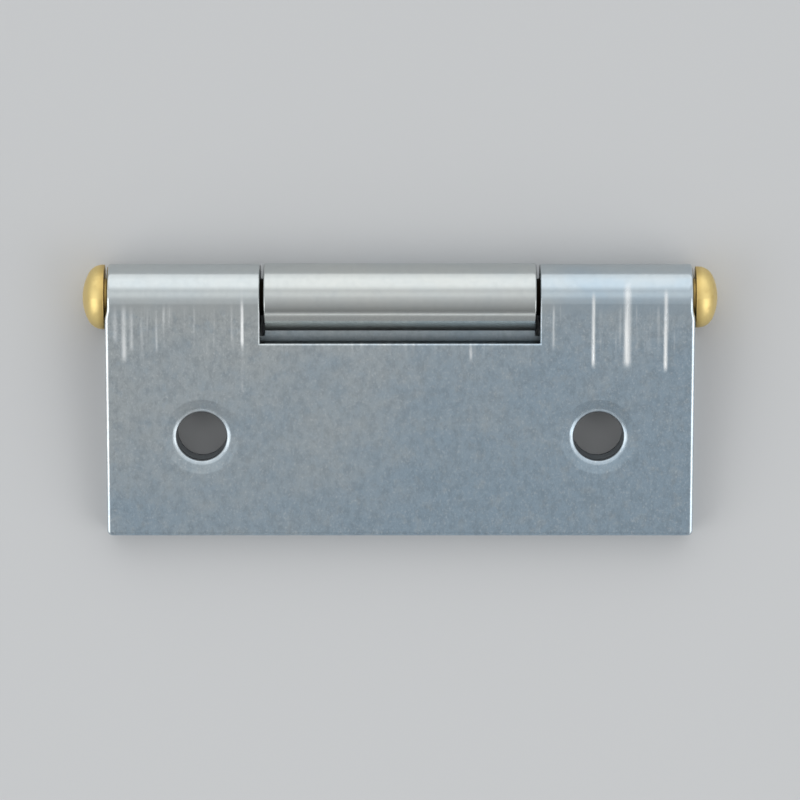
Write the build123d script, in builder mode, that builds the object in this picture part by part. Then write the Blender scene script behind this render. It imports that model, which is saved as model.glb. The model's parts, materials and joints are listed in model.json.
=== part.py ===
from build123d import *
from math import asin, atan, cos, degrees, hypot, radians, sin
import os

# A narrow butt hinge, lying closed on the outer face of its rear leaf.
# +X runs along the pin, +Y points from the leaves to the knuckles, and +Z is up.
# Millimetres and degrees throughout.

# Leaves
leaf_length = 40.0
leaf_reach = 16.25  # from the pin's axis to a leaf's free edge
sheet = 1.0
free_corner = 0.35
sheared_edge = 0.25  # rounding that blanking leaves round a leaf's outer face
broken_edge = 0.08  # the finer edge in the window and the notches
fit = 0.01  # how close an edge lies to where it is looked for

# Knuckles
pin_radius = 1.25
outer_bore = pin_radius  # the outer knuckles grip the pin
middle_bore = pin_radius + 0.04  # the middle knuckle turns on it
seam_angle = 28.0  # the rolled sheet ends this far past the level of the pin's axis
window_width = 19.0
knuckle_gap = 0.25
notch_reach = 2.76  # from the pin's axis to the edge of a window or notch
relief_depth = 0.12  # the outer knuckles' ends stand back this far from the leaf's sides
relief_top = 0.3
relief_foot = 1.2

# Screw holes
hole_spacing = 27.0
hole_reach = 9.25
hole_radius = 1.7
countersink_radius = 2.45
countersink_angle = 120.0
dish_radius = 2.6  # the shallow hollow round a hole in an outer face
dish_depth = 0.06
rim_width = 0.34  # the rolled-over rim, where the hole's wall meets the dish
rim_depth = 0.26
rim_end = 100.0

# Pin heads
head_gap = 0.2
head_height = 1.5
crown_radius = 3.4
shoulder_radius = 1.1
formed_head_radius = 2.2
peened_head_radius = 2.08

# Closed, the front leaf tips past parallel until its free edge all but meets the rear leaf.
closing_gap = 0.05
closed_angle = degrees(
    asin((middle_bore - closing_gap) / hypot(leaf_reach, outer_bore))
    + atan(outer_bore / leaf_reach)
)
closed_cos = cos(radians(closed_angle))
closed_sin = sin(radians(closed_angle))

# The origin is under the middle of the closed hinge.
barrel_radius = middle_bore + sheet
front_leaf_end = (
    (leaf_reach - sheared_edge) * closed_cos
    + (outer_bore + sheet - sheared_edge) * closed_sin
    + sheared_edge
)
pin_centre = Vector(0, (front_leaf_end - barrel_radius) / 2, barrel_radius)

# A leaf is drawn on its own plane through the pin's axis: local Y runs to its free edge,
# and local Z points out of its outer face.
front_plane = Plane(pin_centre, x_dir=(-1, 0, 0), z_dir=(0, -closed_sin, closed_cos))
rear_plane = Plane(pin_centre, x_dir=(1, 0, 0), z_dir=(0, 0, -1))


def leaf_section(leaf_plane, bore):
    """A leaf seen along the pin: its flat, and the sheet rolled on from it round the pin."""
    outside = bore + sheet
    seam_cos = cos(radians(seam_angle))
    seam_sin = sin(radians(seam_angle))
    across = Plane(leaf_plane.origin, x_dir=leaf_plane.y_dir, z_dir=leaf_plane.x_dir)
    with BuildSketch(across) as section:
        with BuildLine():
            Line((leaf_reach, outside), (0, outside))
            CenterArc((0, 0), outside, 90, 270 + seam_angle)
            Line((outside * seam_cos, outside * seam_sin), (bore * seam_cos, bore * seam_sin))
            CenterArc((0, 0), bore, seam_angle, -270 - seam_angle)
            Polyline((0, bore), (leaf_reach, bore), (leaf_reach, outside))
        make_face()
    return section.sketch


def upright_edges(leaf, leaf_plane, reach):
    """The corner edges through a leaf's flat that lie at one distance from the pin's axis."""
    upright = leaf.edges().filter_by(Axis(leaf_plane.origin, leaf_plane.z_dir))
    towards_free_edge = Axis(leaf_plane.origin, leaf_plane.y_dir)
    return upright.filter_by_position(towards_free_edge, reach - fit, reach + fit)


def round_outer_face(leaf, leaf_plane):
    """Breaks the edges beside the knuckles, and rounds the rest of a leaf's outer edge.

    The rounding starts on the free edge and runs on along the sides and the knuckles' ends.
    """
    outward = Axis(leaf_plane.origin, leaf_plane.z_dir)
    towards_free_edge = Axis(leaf_plane.origin, leaf_plane.y_dir)
    edges = leaf.faces().sort_by(outward)[-1].edges()
    by_knuckles = edges.filter_by_position(towards_free_edge, fit, notch_reach + fit)
    corner = leaf_length / 2 - relief_depth
    chamfer(by_knuckles.filter_by_position(Axis.X, fit - corner, corner - fit), broken_edge)
    free_edge = leaf.faces().sort_by(outward)[-1].edges().sort_by(towards_free_edge)[-1]
    fillet(free_edge, sheared_edge)


def make_screw_holes(leaf_plane, bore):
    """Two holes, countersunk in the inner face, and dished and rounded in the outer face."""
    places = [(-hole_spacing / 2, hole_reach), (hole_spacing / 2, hole_reach)]
    inner_face = Plane(
        leaf_plane.offset(bore).origin, x_dir=-leaf_plane.x_dir, z_dir=-leaf_plane.z_dir
    )
    with Locations(inner_face):
        with Locations(*places):
            CounterSinkHole(
                hole_radius, countersink_radius, counter_sink_angle=countersink_angle
            )
    for place in places:
        mouth = leaf_plane.offset(bore + sheet).shift_origin(
            leaf_plane.offset(bore + sheet).from_local_coords(place)
        )
        with BuildSketch(Plane(mouth.origin, x_dir=mouth.x_dir, z_dir=-mouth.y_dir)) as rim:
            with BuildLine():
                curve = EllipticalCenterArc(
                    (hole_radius + rim_width, -rim_depth),
                    rim_width,
                    rim_depth - dish_depth,
                    start_angle=rim_end,
                    arc_size=180 - rim_end,
                )
                Polyline(
                    curve @ 0,
                    (dish_radius, 0),
                    (dish_radius, sheet),
                    (0, sheet),
                    (0, -rim_depth),
                    curve @ 1,
                )
            make_face()
        revolve(rim.sketch, axis=Axis(mouth.origin, mouth.z_dir), mode=Mode.SUBTRACT)


front_section = leaf_section(front_plane, outer_bore)
rear_section = leaf_section(rear_plane, middle_bore)
knuckle_width = (leaf_length - window_width) / 2
cut_depth = barrel_radius + sheet

# Front leaf: two outer knuckles, and a window between them for the middle one.
with BuildPart() as front_leaf:
    extrude(front_section, amount=leaf_length / 2, both=True)
    with BuildSketch(front_plane):
        with Locations((0, notch_reach)):
            Rectangle(window_width, notch_reach + cut_depth, align=(Align.CENTER, Align.MAX))
        for side in (-1, 1):
            leaf_side = side * leaf_length / 2
            knuckle_end = side * (leaf_length / 2 - relief_depth)
            with BuildLine():
                half_way = ((leaf_side + knuckle_end) / 2, (relief_foot + relief_top) / 2)
                foot = TangentArc((leaf_side, relief_foot), half_way, tangent=(0, -1))
                top = TangentArc(half_way, (knuckle_end, relief_top), tangent=foot % 1)
                Polyline(
                    top @ 1,
                    (knuckle_end, -cut_depth),
                    (side * leaf_length, -cut_depth),
                    (side * leaf_length, relief_foot),
                    foot @ 0,
                )
            make_face()
    extrude(amount=cut_depth, both=True, mode=Mode.SUBTRACT)
    fillet(upright_edges(front_leaf, front_plane, leaf_reach), free_corner)
    round_outer_face(front_leaf, front_plane)
    make_screw_holes(front_plane, outer_bore)
front_leaf.part.label = "front_leaf"

# Rear leaf: one middle knuckle, and a notch on each side of it for the outer ones.
with BuildPart() as rear_leaf:
    extrude(rear_section, amount=leaf_length / 2, both=True)
    with BuildSketch(rear_plane):
        with Locations((-leaf_length / 2, notch_reach)):
            Rectangle(
                knuckle_width + knuckle_gap,
                notch_reach + cut_depth,
                align=(Align.MIN, Align.MAX),
            )
        mirror(about=Plane.YZ)
    extrude(amount=cut_depth, both=True, mode=Mode.SUBTRACT)
    fillet(upright_edges(rear_leaf, rear_plane, leaf_reach), free_corner)
    round_outer_face(rear_leaf, rear_plane)
    make_screw_holes(rear_plane, middle_bore)
rear_leaf.part.label = "rear_leaf"

# Hinge pin: a brass rivet with a formed dome at -X and a slightly smaller peened dome at +X.
head_seat = leaf_length / 2 - relief_depth + head_gap
pin_end = head_seat + head_height
with BuildPart() as hinge_pin:
    for end, head_radius in ((-1, formed_head_radius), (1, peened_head_radius)):
        crown_turn = degrees(
            asin((head_radius - shoulder_radius) / (crown_radius - shoulder_radius))
        )
        with BuildSketch(Plane(pin_centre, x_dir=(end, 0, 0), z_dir=(0, -end, 0))):
            with BuildLine():
                crown = JernArc((pin_end, 0), (0, 1), crown_radius, crown_turn)
                shoulder = JernArc(crown @ 1, crown % 1, shoulder_radius, 90 - crown_turn)
                Polyline(
                    shoulder @ 1,
                    (head_seat, head_radius),
                    (head_seat, pin_radius),
                    (0, pin_radius),
                    (0, 0),
                    (pin_end, 0),
                )
            make_face()
        revolve(axis=Axis(pin_centre, (1, 0, 0)))
hinge_pin.part.label = "hinge_pin"

os.makedirs("parts", exist_ok=True)
export_step(front_leaf.part, "parts/front_leaf.step")
export_step(rear_leaf.part, "parts/rear_leaf.step")
export_step(hinge_pin.part, "parts/hinge_pin.step")
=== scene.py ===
import bpy
import json
from math import asin, cos, pi, radians, sin
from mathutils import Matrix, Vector


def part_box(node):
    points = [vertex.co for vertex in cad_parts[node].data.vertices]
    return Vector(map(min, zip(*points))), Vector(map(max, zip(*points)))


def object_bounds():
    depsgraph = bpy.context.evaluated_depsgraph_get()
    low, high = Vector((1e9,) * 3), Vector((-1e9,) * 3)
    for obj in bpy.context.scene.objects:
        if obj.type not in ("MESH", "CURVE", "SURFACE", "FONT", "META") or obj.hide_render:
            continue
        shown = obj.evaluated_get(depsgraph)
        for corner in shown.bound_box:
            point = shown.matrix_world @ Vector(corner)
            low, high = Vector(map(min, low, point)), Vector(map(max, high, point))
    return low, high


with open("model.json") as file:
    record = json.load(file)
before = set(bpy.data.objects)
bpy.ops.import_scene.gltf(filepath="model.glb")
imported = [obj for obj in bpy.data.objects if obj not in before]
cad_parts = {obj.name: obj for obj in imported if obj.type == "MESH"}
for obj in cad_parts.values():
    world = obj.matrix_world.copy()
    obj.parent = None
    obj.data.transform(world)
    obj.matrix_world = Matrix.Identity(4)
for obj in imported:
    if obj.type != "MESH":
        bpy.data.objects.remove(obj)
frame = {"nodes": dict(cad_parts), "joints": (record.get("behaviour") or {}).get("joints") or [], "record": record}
cad_low, cad_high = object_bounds()

# The closed hinge, from the frame. Places in a finish are in millimetres, from the pin's axis.
mm = 0.001
mounts = {mount["name"]: mount for mount in frame["record"]["mounts"]}
pin_centre = Vector(frame["joints"][0]["pos_m"])
closed_angle = -asin(mounts["front_leaf_outer_face"]["axis"][1])
leaf_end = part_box("front_leaf")[1].x / mm
screws = mounts["rear_leaf_screws"]
hole_place = screws["dims"]["spacing_x_mm"] / 2
hole_radius = screws["dims"]["hole_r_mm"]
hole_reach = (pin_centre.y - screws["pos_m"][1]) / mm
leaf_reach = (pin_centre.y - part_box("rear_leaf")[0].y) / mm
rear_outside = pin_centre.z / mm

# Sizes of the part, in millimetres, that the frame doesn't hold
sheet = 1.0
pin_radius = 1.25
countersink_radius = 2.45
rim_width = 0.34
window_width = 19.0
knuckle_gap = 0.25
notch_reach = 2.76
relief_depth = 0.12
head_gap = 0.2
front_outside = pin_radius + sheet
gap_place = (window_width - knuckle_gap) / 2
knuckle_end = leaf_end - relief_depth
head_seat = knuckle_end + head_gap


def colour(red, green, blue):
    """A colour as a screen shows it, from 0 to 255, made linear."""
    linear = [((part / 255 + 0.055) / 1.055) ** 2.4 for part in (red, green, blue)]
    return (*linear, 1.0)


zinc_grey = colour(199, 206, 208)
zinc_blue = colour(171, 191, 206)
zinc_warm = colour(203, 204, 199)
# A white zinc tone for specks and rub marks, also laid on edges as a painted highlight.
zinc_white_and_highlight = colour(250, 252, 252)
# A dark zinc tone for mottle and specks, also laid on the inner faces as painted shade.
zinc_dark_and_shade = colour(124, 136, 144)
torn_steel = colour(150, 156, 160)
# Drilled steel, made darker than bare steel to paint shade into the holes.
drilled_steel_and_shade = colour(98, 100, 102)
# Painted shade for the faces in the gaps between the knuckles.
gap_shade = colour(52, 54, 55)
brass_clean = colour(234, 210, 142)
# Dull brass for cloudy patches, also laid beside the knuckles as painted shade.
brass_dull_and_shade = colour(196, 166, 100)
# Nearly black for the hidden shank: some grease, and painted shade in the gaps.
shank_grease_and_shade = colour(44, 38, 30)
floor_grey = colour(196, 197, 198)

# Bright marks that the rolling tool left beside the knuckles: place along the pin, where one
# starts and ends by its distance from the pin's axis, half its width, and its strength.
front_rub_marks = (
    (-19.3, 0.0, 2.9, 0.24, 0.4),
    (-18.7, -0.2, 4.2, 0.26, 0.75),
    (-18.2, 0.0, 3.6, 0.22, 0.4),
    (-16.5, 0.0, 3.6, 0.13, 0.4),
    (-16.0, -0.2, 1.6, 0.12, 0.25),
    (-11.4, -0.4, 2.9, 0.12, 0.3),
    (-10.7, -0.6, 3.2, 0.17, 1.0),
    (-10.7, 5.2, 6.4, 0.14, 0.3),
    (-9.4, -0.2, 2.4, 0.14, 0.35),
    (4.8, 2.4, 4.2, 0.18, 0.9),
    (10.4, -0.2, 3.4, 0.15, 0.4),
    (13.1, -1.0, 4.6, 0.19, 1.1),
    (15.4, -1.6, 4.6, 0.38, 1.0),
    (18.0, -1.2, 4.9, 0.21, 1.1),
)
rear_rub_marks = (
    (-6.3, 0.0, 3.6, 0.17, 0.7),
    (2.1, -0.2, 4.1, 0.24, 0.9),
    (7.0, 0.0, 2.8, 0.15, 0.5),
)

# How bright the studio's surround is, from the free edges' side at -1 to the knuckles' side
# at 1, and how much red, green and blue it has.
surround = (
    (-1.00, 0.44),
    (-0.90, 0.44),
    (-0.85, 1.30),
    (-0.80, 0.30),
    (-0.70, 0.28),
    (-0.50, 0.445),
    (-0.20, 0.625),
    (0.00, 0.76),
    (0.14, 0.96),
    (0.30, 0.96),
    (0.42, 0.80),
    (0.52, 0.98),
    (0.66, 1.32),
    (0.92, 1.32),
    (1.00, 1.12),
)
surround_tint = (0.985, 1.0, 1.01)


class Wire:
    """A value that runs between nodes. Arithmetic on it adds Math nodes."""

    def __init__(self, nodes, socket):
        self.nodes = nodes
        self.socket = socket

    def maths(self, operation, *values):
        return self.nodes.add("Math", {"operation": operation}, dict(enumerate(values)))

    def __add__(self, other):
        return self.maths("ADD", self, other)

    def __radd__(self, other):
        return self.maths("ADD", other, self)

    def __sub__(self, other):
        return self.maths("SUBTRACT", self, other)

    def __rsub__(self, other):
        return self.maths("SUBTRACT", other, self)

    def __mul__(self, other):
        return self.maths("MULTIPLY", self, other)

    def __rmul__(self, other):
        return self.maths("MULTIPLY", other, self)

    def __neg__(self):
        return self.maths("MULTIPLY", self, -1.0)

    def __abs__(self):
        return self.maths("ABSOLUTE", self)

    def larger(self, other):
        return self.maths("MAXIMUM", self, other)

    def root(self):
        return self.maths("SQRT", self)


class Nodes:
    """The nodes of one finish, or of the studio's surround. A shift moves its patterns along."""

    def __init__(self, owner, shift=0.0):
        owner.use_nodes = True
        self.tree = owner.node_tree
        self.tree.nodes.clear()
        self.shift = shift

    def add(self, kind, settings, sockets, output=None):
        """Adds a node. Its settings come first, then the values or links of its sockets."""
        node = self.tree.nodes.new("ShaderNode" + kind)
        for name, value in settings.items():
            if name == "stops":
                self.set_stops(node.color_ramp.elements, value)
            else:
                setattr(node, name, value)
        for name, value in sockets.items():
            socket = node.inputs[name] if isinstance(name, int) else self.shown(node.inputs, name)
            if isinstance(value, Wire):
                self.tree.links.new(value.socket, socket)
            else:
                socket.default_value = value
        if node.outputs:
            return Wire(self, self.shown(node.outputs, output))

    def shown(self, sockets, name):
        """The first socket in use that has the name, or the first in use where name is None."""
        in_use = (socket for socket in sockets if socket.enabled)
        return next(socket for socket in in_use if name in (None, socket.name))

    def set_stops(self, elements, stops):
        while len(elements) < len(stops):
            elements.new(1.0)
        for element, (position, shade) in zip(elements, stops):
            element.position = position
            element.color = shade

    def axes(self, vector):
        """The three numbers of a vector."""
        first = self.add("SeparateXYZ", {}, {"Vector": vector})
        return [Wire(self, socket) for socket in first.socket.node.outputs]

    def places(self, turn=0.0, outward=1):
        """Object coordinates in millimetres from the pin's centre, turned about the pin.

        The third axis points up, or down where outward is -1.
        """
        position = self.add("TexCoord", {}, {}, "Object")
        sockets = {
            "Vector": position,
            "Location": pin_centre,
            "Rotation": (turn, 0, 0),
            "Scale": (mm, mm, outward * mm),
        }
        return self.add("Mapping", {"vector_type": "TEXTURE"}, sockets)

    def noise(self, places, scale, detail, roughness=0.5):
        """A cloudy value from 0 to 1, and 0.5 in the middle, at its own scale on each axis."""
        stretch = {"Vector": places, "Scale": scale, "Location": (self.shift, 0, 0)}
        stretched = self.add("Mapping", {}, stretch)
        sockets = {"Vector": stretched, "Scale": 1.0, "Detail": detail, "Roughness": roughness}
        return self.add("TexNoise", {}, sockets, "Fac")

    def step(self, value, start, end):
        """Goes smoothly from 0 at start to 1 at end."""
        sockets = {"Value": value, "From Min": start, "From Max": end}
        return self.add("MapRange", {"interpolation_type": "SMOOTHSTEP"}, sockets)

    def fall(self, value, start, end):
        """Goes smoothly from 1 at start to 0 at end."""
        return 1 - self.step(value, start, end)

    def band(self, value, middle, half_width):
        """1 in the middle of a band, and 0 at its edges and beyond."""
        return self.fall(abs(value - middle), 0.0, half_width)

    def layered(self, base, layers):
        """A colour with others laid over it in turn, each by its share from 0 to 1."""
        tint = base
        for share, shade in layers:
            sockets = {"Factor": share, "A": tint, "B": shade}
            tint = self.add("Mix", {"data_type": "RGBA"}, sockets)
        return tint

    def relief(self, height, edge):
        """The surface raised by a height in millimetres, on edges rounded by a radius."""
        rounded = self.add("Bevel", {"samples": 6}, {"Radius": edge * mm})
        return self.add("Bump", {}, {"Height": height, "Distance": mm, "Normal": rounded})

    def surface(self, sockets):
        """Ends the nodes in one Principled surface."""
        surface = self.add("BsdfPrincipled", {}, sockets)
        self.add("OutputMaterial", {}, {"Surface": surface})


def new_finish(name, shift=0.0):
    material = bpy.data.materials.new(name)
    return material, Nodes(material, shift)


def rub_marks(nodes, along, reach, marks):
    """How brightly the surface is rubbed. A mark starts quickly, grows slowly, and then fades."""
    quick_length = 1.0
    quick_share = 0.7
    full_before_end = 0.8
    fade_length = 0.7
    rubbed = 0.0
    for place, start, end, half_width, strength in marks:
        quick = nodes.step(reach, start, start + quick_length)
        slow = nodes.step(reach, start + quick_length, end - full_before_end)
        body = quick_share * quick + (1 - quick_share) * slow
        body = body * nodes.fall(reach, end - fade_length, end)
        rubbed = rubbed + nodes.band(along, place, half_width) * body * strength
    return rubbed


def scuffs(nodes, places, reach):
    """Faint scuffs across the pin, many of them, that lie only beside the knuckles."""
    streaks = nodes.noise(places, (3.6, 0.12, 0.12), 2.0)
    beside_knuckles = nodes.step(reach, -0.2, 0.6) * nodes.fall(reach, 1.5, 4.5)
    return nodes.step(streaks, 0.54, 0.7) * beside_knuckles


def screw_holes(nodes, along, reach, depth):
    """The drilled metal of the holes and their countersinks, where shade is painted, and the rims round the holes,
    which get a painted highlight.
    """
    fade = 0.06
    wall = hole_radius + 0.02
    hole_along = abs(along) - hole_place
    hole_across = reach - hole_reach
    from_hole = (hole_along * hole_along + hole_across * hole_across).root()
    bored = nodes.fall(from_hole, wall, wall + fade)
    inner_half = nodes.step(depth, 0.5 * sheet, 0.6 * sheet)
    sunk = nodes.fall(from_hole, countersink_radius - fade, countersink_radius) * inner_half
    rim = nodes.fall(from_hole, hole_radius + 0.1, hole_radius + 1.2 * rim_width)
    return bored.larger(sunk), rim


def torn_edges(nodes, along, reach, depth, mottle):
    """The inner half of a leaf's sheared edges, where the sheet tore."""
    fade = 0.03
    side = leaf_end - 0.02
    free_edge = leaf_reach - 0.02
    at_side = nodes.step(abs(along), side - fade, side)
    at_free_edge = nodes.step(reach, free_edge - fade, free_edge)
    torn_part = nodes.step(depth + 0.25 * mottle, 0.5 * sheet, 0.6 * sheet)
    return at_side.larger(at_free_edge) * torn_part


def knuckle_gaps(nodes, along, reach):
    """The faces that look into the gaps between the knuckles, which are painted dark as shade."""
    fade = 0.02
    notch_fade = 0.1
    gap_edge = 0.5 * knuckle_gap + 0.01
    from_gap = abs(abs(along) - gap_place)
    in_gap = nodes.fall(from_gap, gap_edge, gap_edge + fade)
    return in_gap * nodes.fall(reach, notch_reach - notch_fade, notch_reach)


def zinc_plate(name, outside, marks, turn=0.0, outward=1, shift=0.0, warm_knuckle=0.0):
    """Blue-grey zinc plate: cloudy, with a fine grain across the pin, specks and rub marks."""
    material, nodes = new_finish(name, shift)
    places = nodes.places(turn, outward)
    along, forward, out = nodes.axes(places)
    reach = -forward
    depth = outside - out

    clouds = nodes.noise(places, (0.13, 0.2, 0.2), 4.0, 0.6)
    mottle = nodes.noise(places, (2.2, 1.5, 1.5), 5.0, 0.7)
    patches = nodes.noise(places, (1.1, 0.9, 0.9), 3.0, 0.6)
    specks = nodes.noise(places, (7.5, 5.5, 5.5), 2.0, 0.6)
    lines = nodes.noise(places, (0.06, 3.4, 3.4), 3.0, 0.6)
    grain = nodes.noise(places, (12.0, 0.5, 0.5), 3.0, 0.65)
    fine_grain = nodes.noise(places, (40.0, 1.3, 1.3), 1.0)

    on_outer_face = nodes.step(out, outside - 0.7, outside - 0.4)
    on_flat = nodes.step(reach, 0.2, 1.2) * nodes.fall(depth, 1.05 * sheet, 1.3 * sheet)
    on_inner_face = nodes.band(depth, sheet, 0.3) * on_flat
    knuckle_front = nodes.step(reach, 1.5, 1.9) * nodes.fall(out, -0.3, 0.1)
    side_edge = nodes.step(abs(along), leaf_end - 0.3, knuckle_end)
    drilled, rim = screw_holes(nodes, along, reach, depth)
    torn = torn_edges(nodes, along, reach, depth, mottle)
    in_gap = knuckle_gaps(nodes, along, reach)
    rubbed = rub_marks(nodes, along, reach, marks) * nodes.step(grain, 0.15, 0.5)
    rubbed = (rubbed + 0.28 * scuffs(nodes, places, reach)) * on_outer_face

    # The plate is bluer towards the free edge, and its patches and specks fade on the knuckles
    cool = nodes.step(0.55 * clouds + 0.005 * along + 0.014 * (reach - 6.0) + 0.24, 0.3, 0.72)
    patchy = 0.04 + 0.28 * on_flat
    layers = (
        (cool, zinc_blue),
        (nodes.fall(reach, 0.5, 5.0) * (1 - cool) * 0.3, zinc_warm),
        (nodes.fall(out, -1.0, 1.0) * warm_knuckle, zinc_warm),
        (nodes.step(patches, 0.5, 0.7) * patchy, zinc_grey),
        (nodes.step(1 - patches, 0.5, 0.7) * patchy, zinc_blue),
        (nodes.step(mottle, 0.40, 0.68) * (0.06 + 0.24 * on_flat), zinc_dark_and_shade),
        (nodes.step(specks, 0.52, 0.78) * (0.04 + 0.24 * on_flat), zinc_white_and_highlight),
        (nodes.step(1 - specks, 0.58, 0.8) * (0.04 + 0.2 * on_flat), zinc_dark_and_shade),
        # Painted highlight: the rims round the holes and the sheared side edges are whitened.
        (0.15 * rim + 0.3 * side_edge, zinc_white_and_highlight),
        # Painted shade: the inner faces, which lie together when the hinge is closed, are darkened.
        (0.35 * on_inner_face, zinc_dark_and_shade),
        (0.7 * torn, torn_steel),
        # Painted shade: the faces in the gaps between the knuckles are made nearly black.
        (0.9 * in_gap, gap_shade),
        # The holes and countersinks are bare drilled steel, darkened further as painted shade.
        (0.85 * drilled, drilled_steel_and_shade),
        (rubbed, zinc_white_and_highlight),
    )

    # In millimetres: grain, mottle and lines stand up, and the tool pressed its marks in
    height = 0.0030 * grain * on_flat + 0.0012 * fine_grain + 0.0012 * mottle * on_flat
    height = height + 0.0024 * lines * (1 - on_flat) - 0.012 * rubbed + 0.012 * specks * torn
    roughness = 0.15 + 0.06 * mottle + 0.07 * on_flat + 0.06 * on_inner_face + 0.10 * rim
    roughness = roughness + 0.22 * knuckle_front + 0.25 * drilled.larger(torn).larger(in_gap)
    nodes.surface(
        {
            "Base Color": nodes.layered(zinc_grey, layers),
            "Metallic": 1.0 - 0.6 * rubbed,
            "Roughness": roughness,
            "Normal": nodes.relief(height, edge=0.07),
        }
    )
    return material


def brass():
    """Plain brass: clean domes, with painted shade on the heads beside the knuckles, and the hidden shank painted
    dark as shade, with some grease.
    """
    material, nodes = new_finish("brass_finish")
    places = nodes.places()
    along = nodes.axes(places)[0]
    clouds = nodes.noise(places, (1.1, 1.1, 1.1), 3.0, 0.6)
    turned = nodes.noise(places, (9.0, 1.0, 1.0), 2.0)
    shank = nodes.fall(abs(along), knuckle_end - 0.1, knuckle_end)
    rim = nodes.fall(abs(along), head_seat, head_seat + 0.5)
    layers = (
        (0.35 * nodes.step(clouds, 0.45, 0.8), brass_dull_and_shade),
        # Painted shade: the heads are darker where they meet the knuckles.
        (0.7 * rim, brass_dull_and_shade),
        # The hidden shank is nearly black: some grease, and painted shade in the gaps.
        (shank, shank_grease_and_shade),
    )
    nodes.surface(
        {
            "Base Color": nodes.layered(brass_clean, layers),
            "Metallic": 1.0,
            "Roughness": 0.41 + 0.08 * clouds + 0.2 * shank,
            "Normal": nodes.relief(0.003 * turned + 0.008 * clouds, edge=0.1),
        }
    )
    return material


def dress(node, material):
    """Gives a CAD node its finish through its material slot."""
    frame["nodes"][node].material_slots[0].material = material


def pale_floor():
    """A plain pale floor under the hinge."""
    bpy.ops.object.select_all(action="DESELECT")
    bpy.ops.mesh.primitive_plane_add(size=6.0, location=(0, 0, 0))
    floor = bpy.context.object
    floor.name = "floor"
    material, nodes = new_finish("floor_paper")
    nodes.surface({"Base Color": floor_grey, "Roughness": 0.9})
    floor.data.materials.append(material)


def soft_light(name, tilt_degrees, turn_degrees, radiance):
    """A large rectangle of light, tilted from the vertical, and turned about it from +X."""
    distance = 0.8
    width = 0.55
    height = 0.7
    tilt = radians(tilt_degrees)
    turn = radians(turn_degrees)
    direction = Vector((sin(tilt) * cos(turn), sin(tilt) * sin(turn), cos(tilt)))
    lamp = bpy.data.lights.new(name, "AREA")
    lamp.shape = "RECTANGLE"
    lamp.size = width
    lamp.size_y = height
    lamp.energy = radiance * pi * width * height
    holder = bpy.data.objects.new(name, lamp)
    bpy.context.scene.collection.objects.link(holder)
    holder.location = direction * distance
    holder.rotation_euler = (-direction).to_track_quat("-Z", "Y").to_euler()
    holder.visible_camera = False


def studio():
    """A soft surround, brightest low on the knuckles' side, and a soft light at each end."""
    world = bpy.data.worlds.new("studio")
    nodes = Nodes(world)
    forward = nodes.axes(nodes.add("TexCoord", {}, {}, "Generated"))[1]
    stops = []
    for place, level in surround:
        tint = [part * level for part in surround_tint]
        stops.append((0.5 + 0.5 * place, (*tint, 1.0)))
    shade = nodes.add("ValToRGB", {"stops": stops}, {0: 0.5 + 0.5 * forward})
    light = nodes.add("Background", {}, {"Color": shade, "Strength": 1.0})
    nodes.add("OutputWorld", {}, {"Surface": light})
    bpy.context.scene.world = world
    soft_light("left_end_light", tilt_degrees=60, turn_degrees=203, radiance=1.5)
    soft_light("right_end_light", tilt_degrees=60, turn_degrees=-28, radiance=1.5)


def camera():
    """Looks down from just on the knuckles' side, with the knuckles at the top of the picture."""
    tilt = radians(5.0)
    distance = 0.38
    view_width = 0.0545
    centre = Vector((0, 0, 0.5 * (cad_low.z + cad_high.z)))
    eye = bpy.data.objects.new("camera", bpy.data.cameras.new("camera"))
    bpy.context.scene.collection.objects.link(eye)
    eye.data.lens = eye.data.sensor_width * distance / view_width
    eye.data.clip_start = 0.01
    eye.location = centre + distance * Vector((0, sin(tilt), cos(tilt)))
    eye.rotation_euler = (-tilt, 0, 0)
    bpy.context.scene.camera = eye


front_zinc = zinc_plate("front_leaf_zinc", front_outside, front_rub_marks, turn=closed_angle)
rear_zinc = zinc_plate(
    "rear_leaf_zinc", rear_outside, rear_rub_marks, outward=-1, shift=37.0, warm_knuckle=0.6
)
dress("front_leaf", front_zinc)
dress("rear_leaf", rear_zinc)
dress("hinge_pin", brass())
pale_floor()
studio()
camera()
bpy.context.scene.view_settings.view_transform = "Standard"
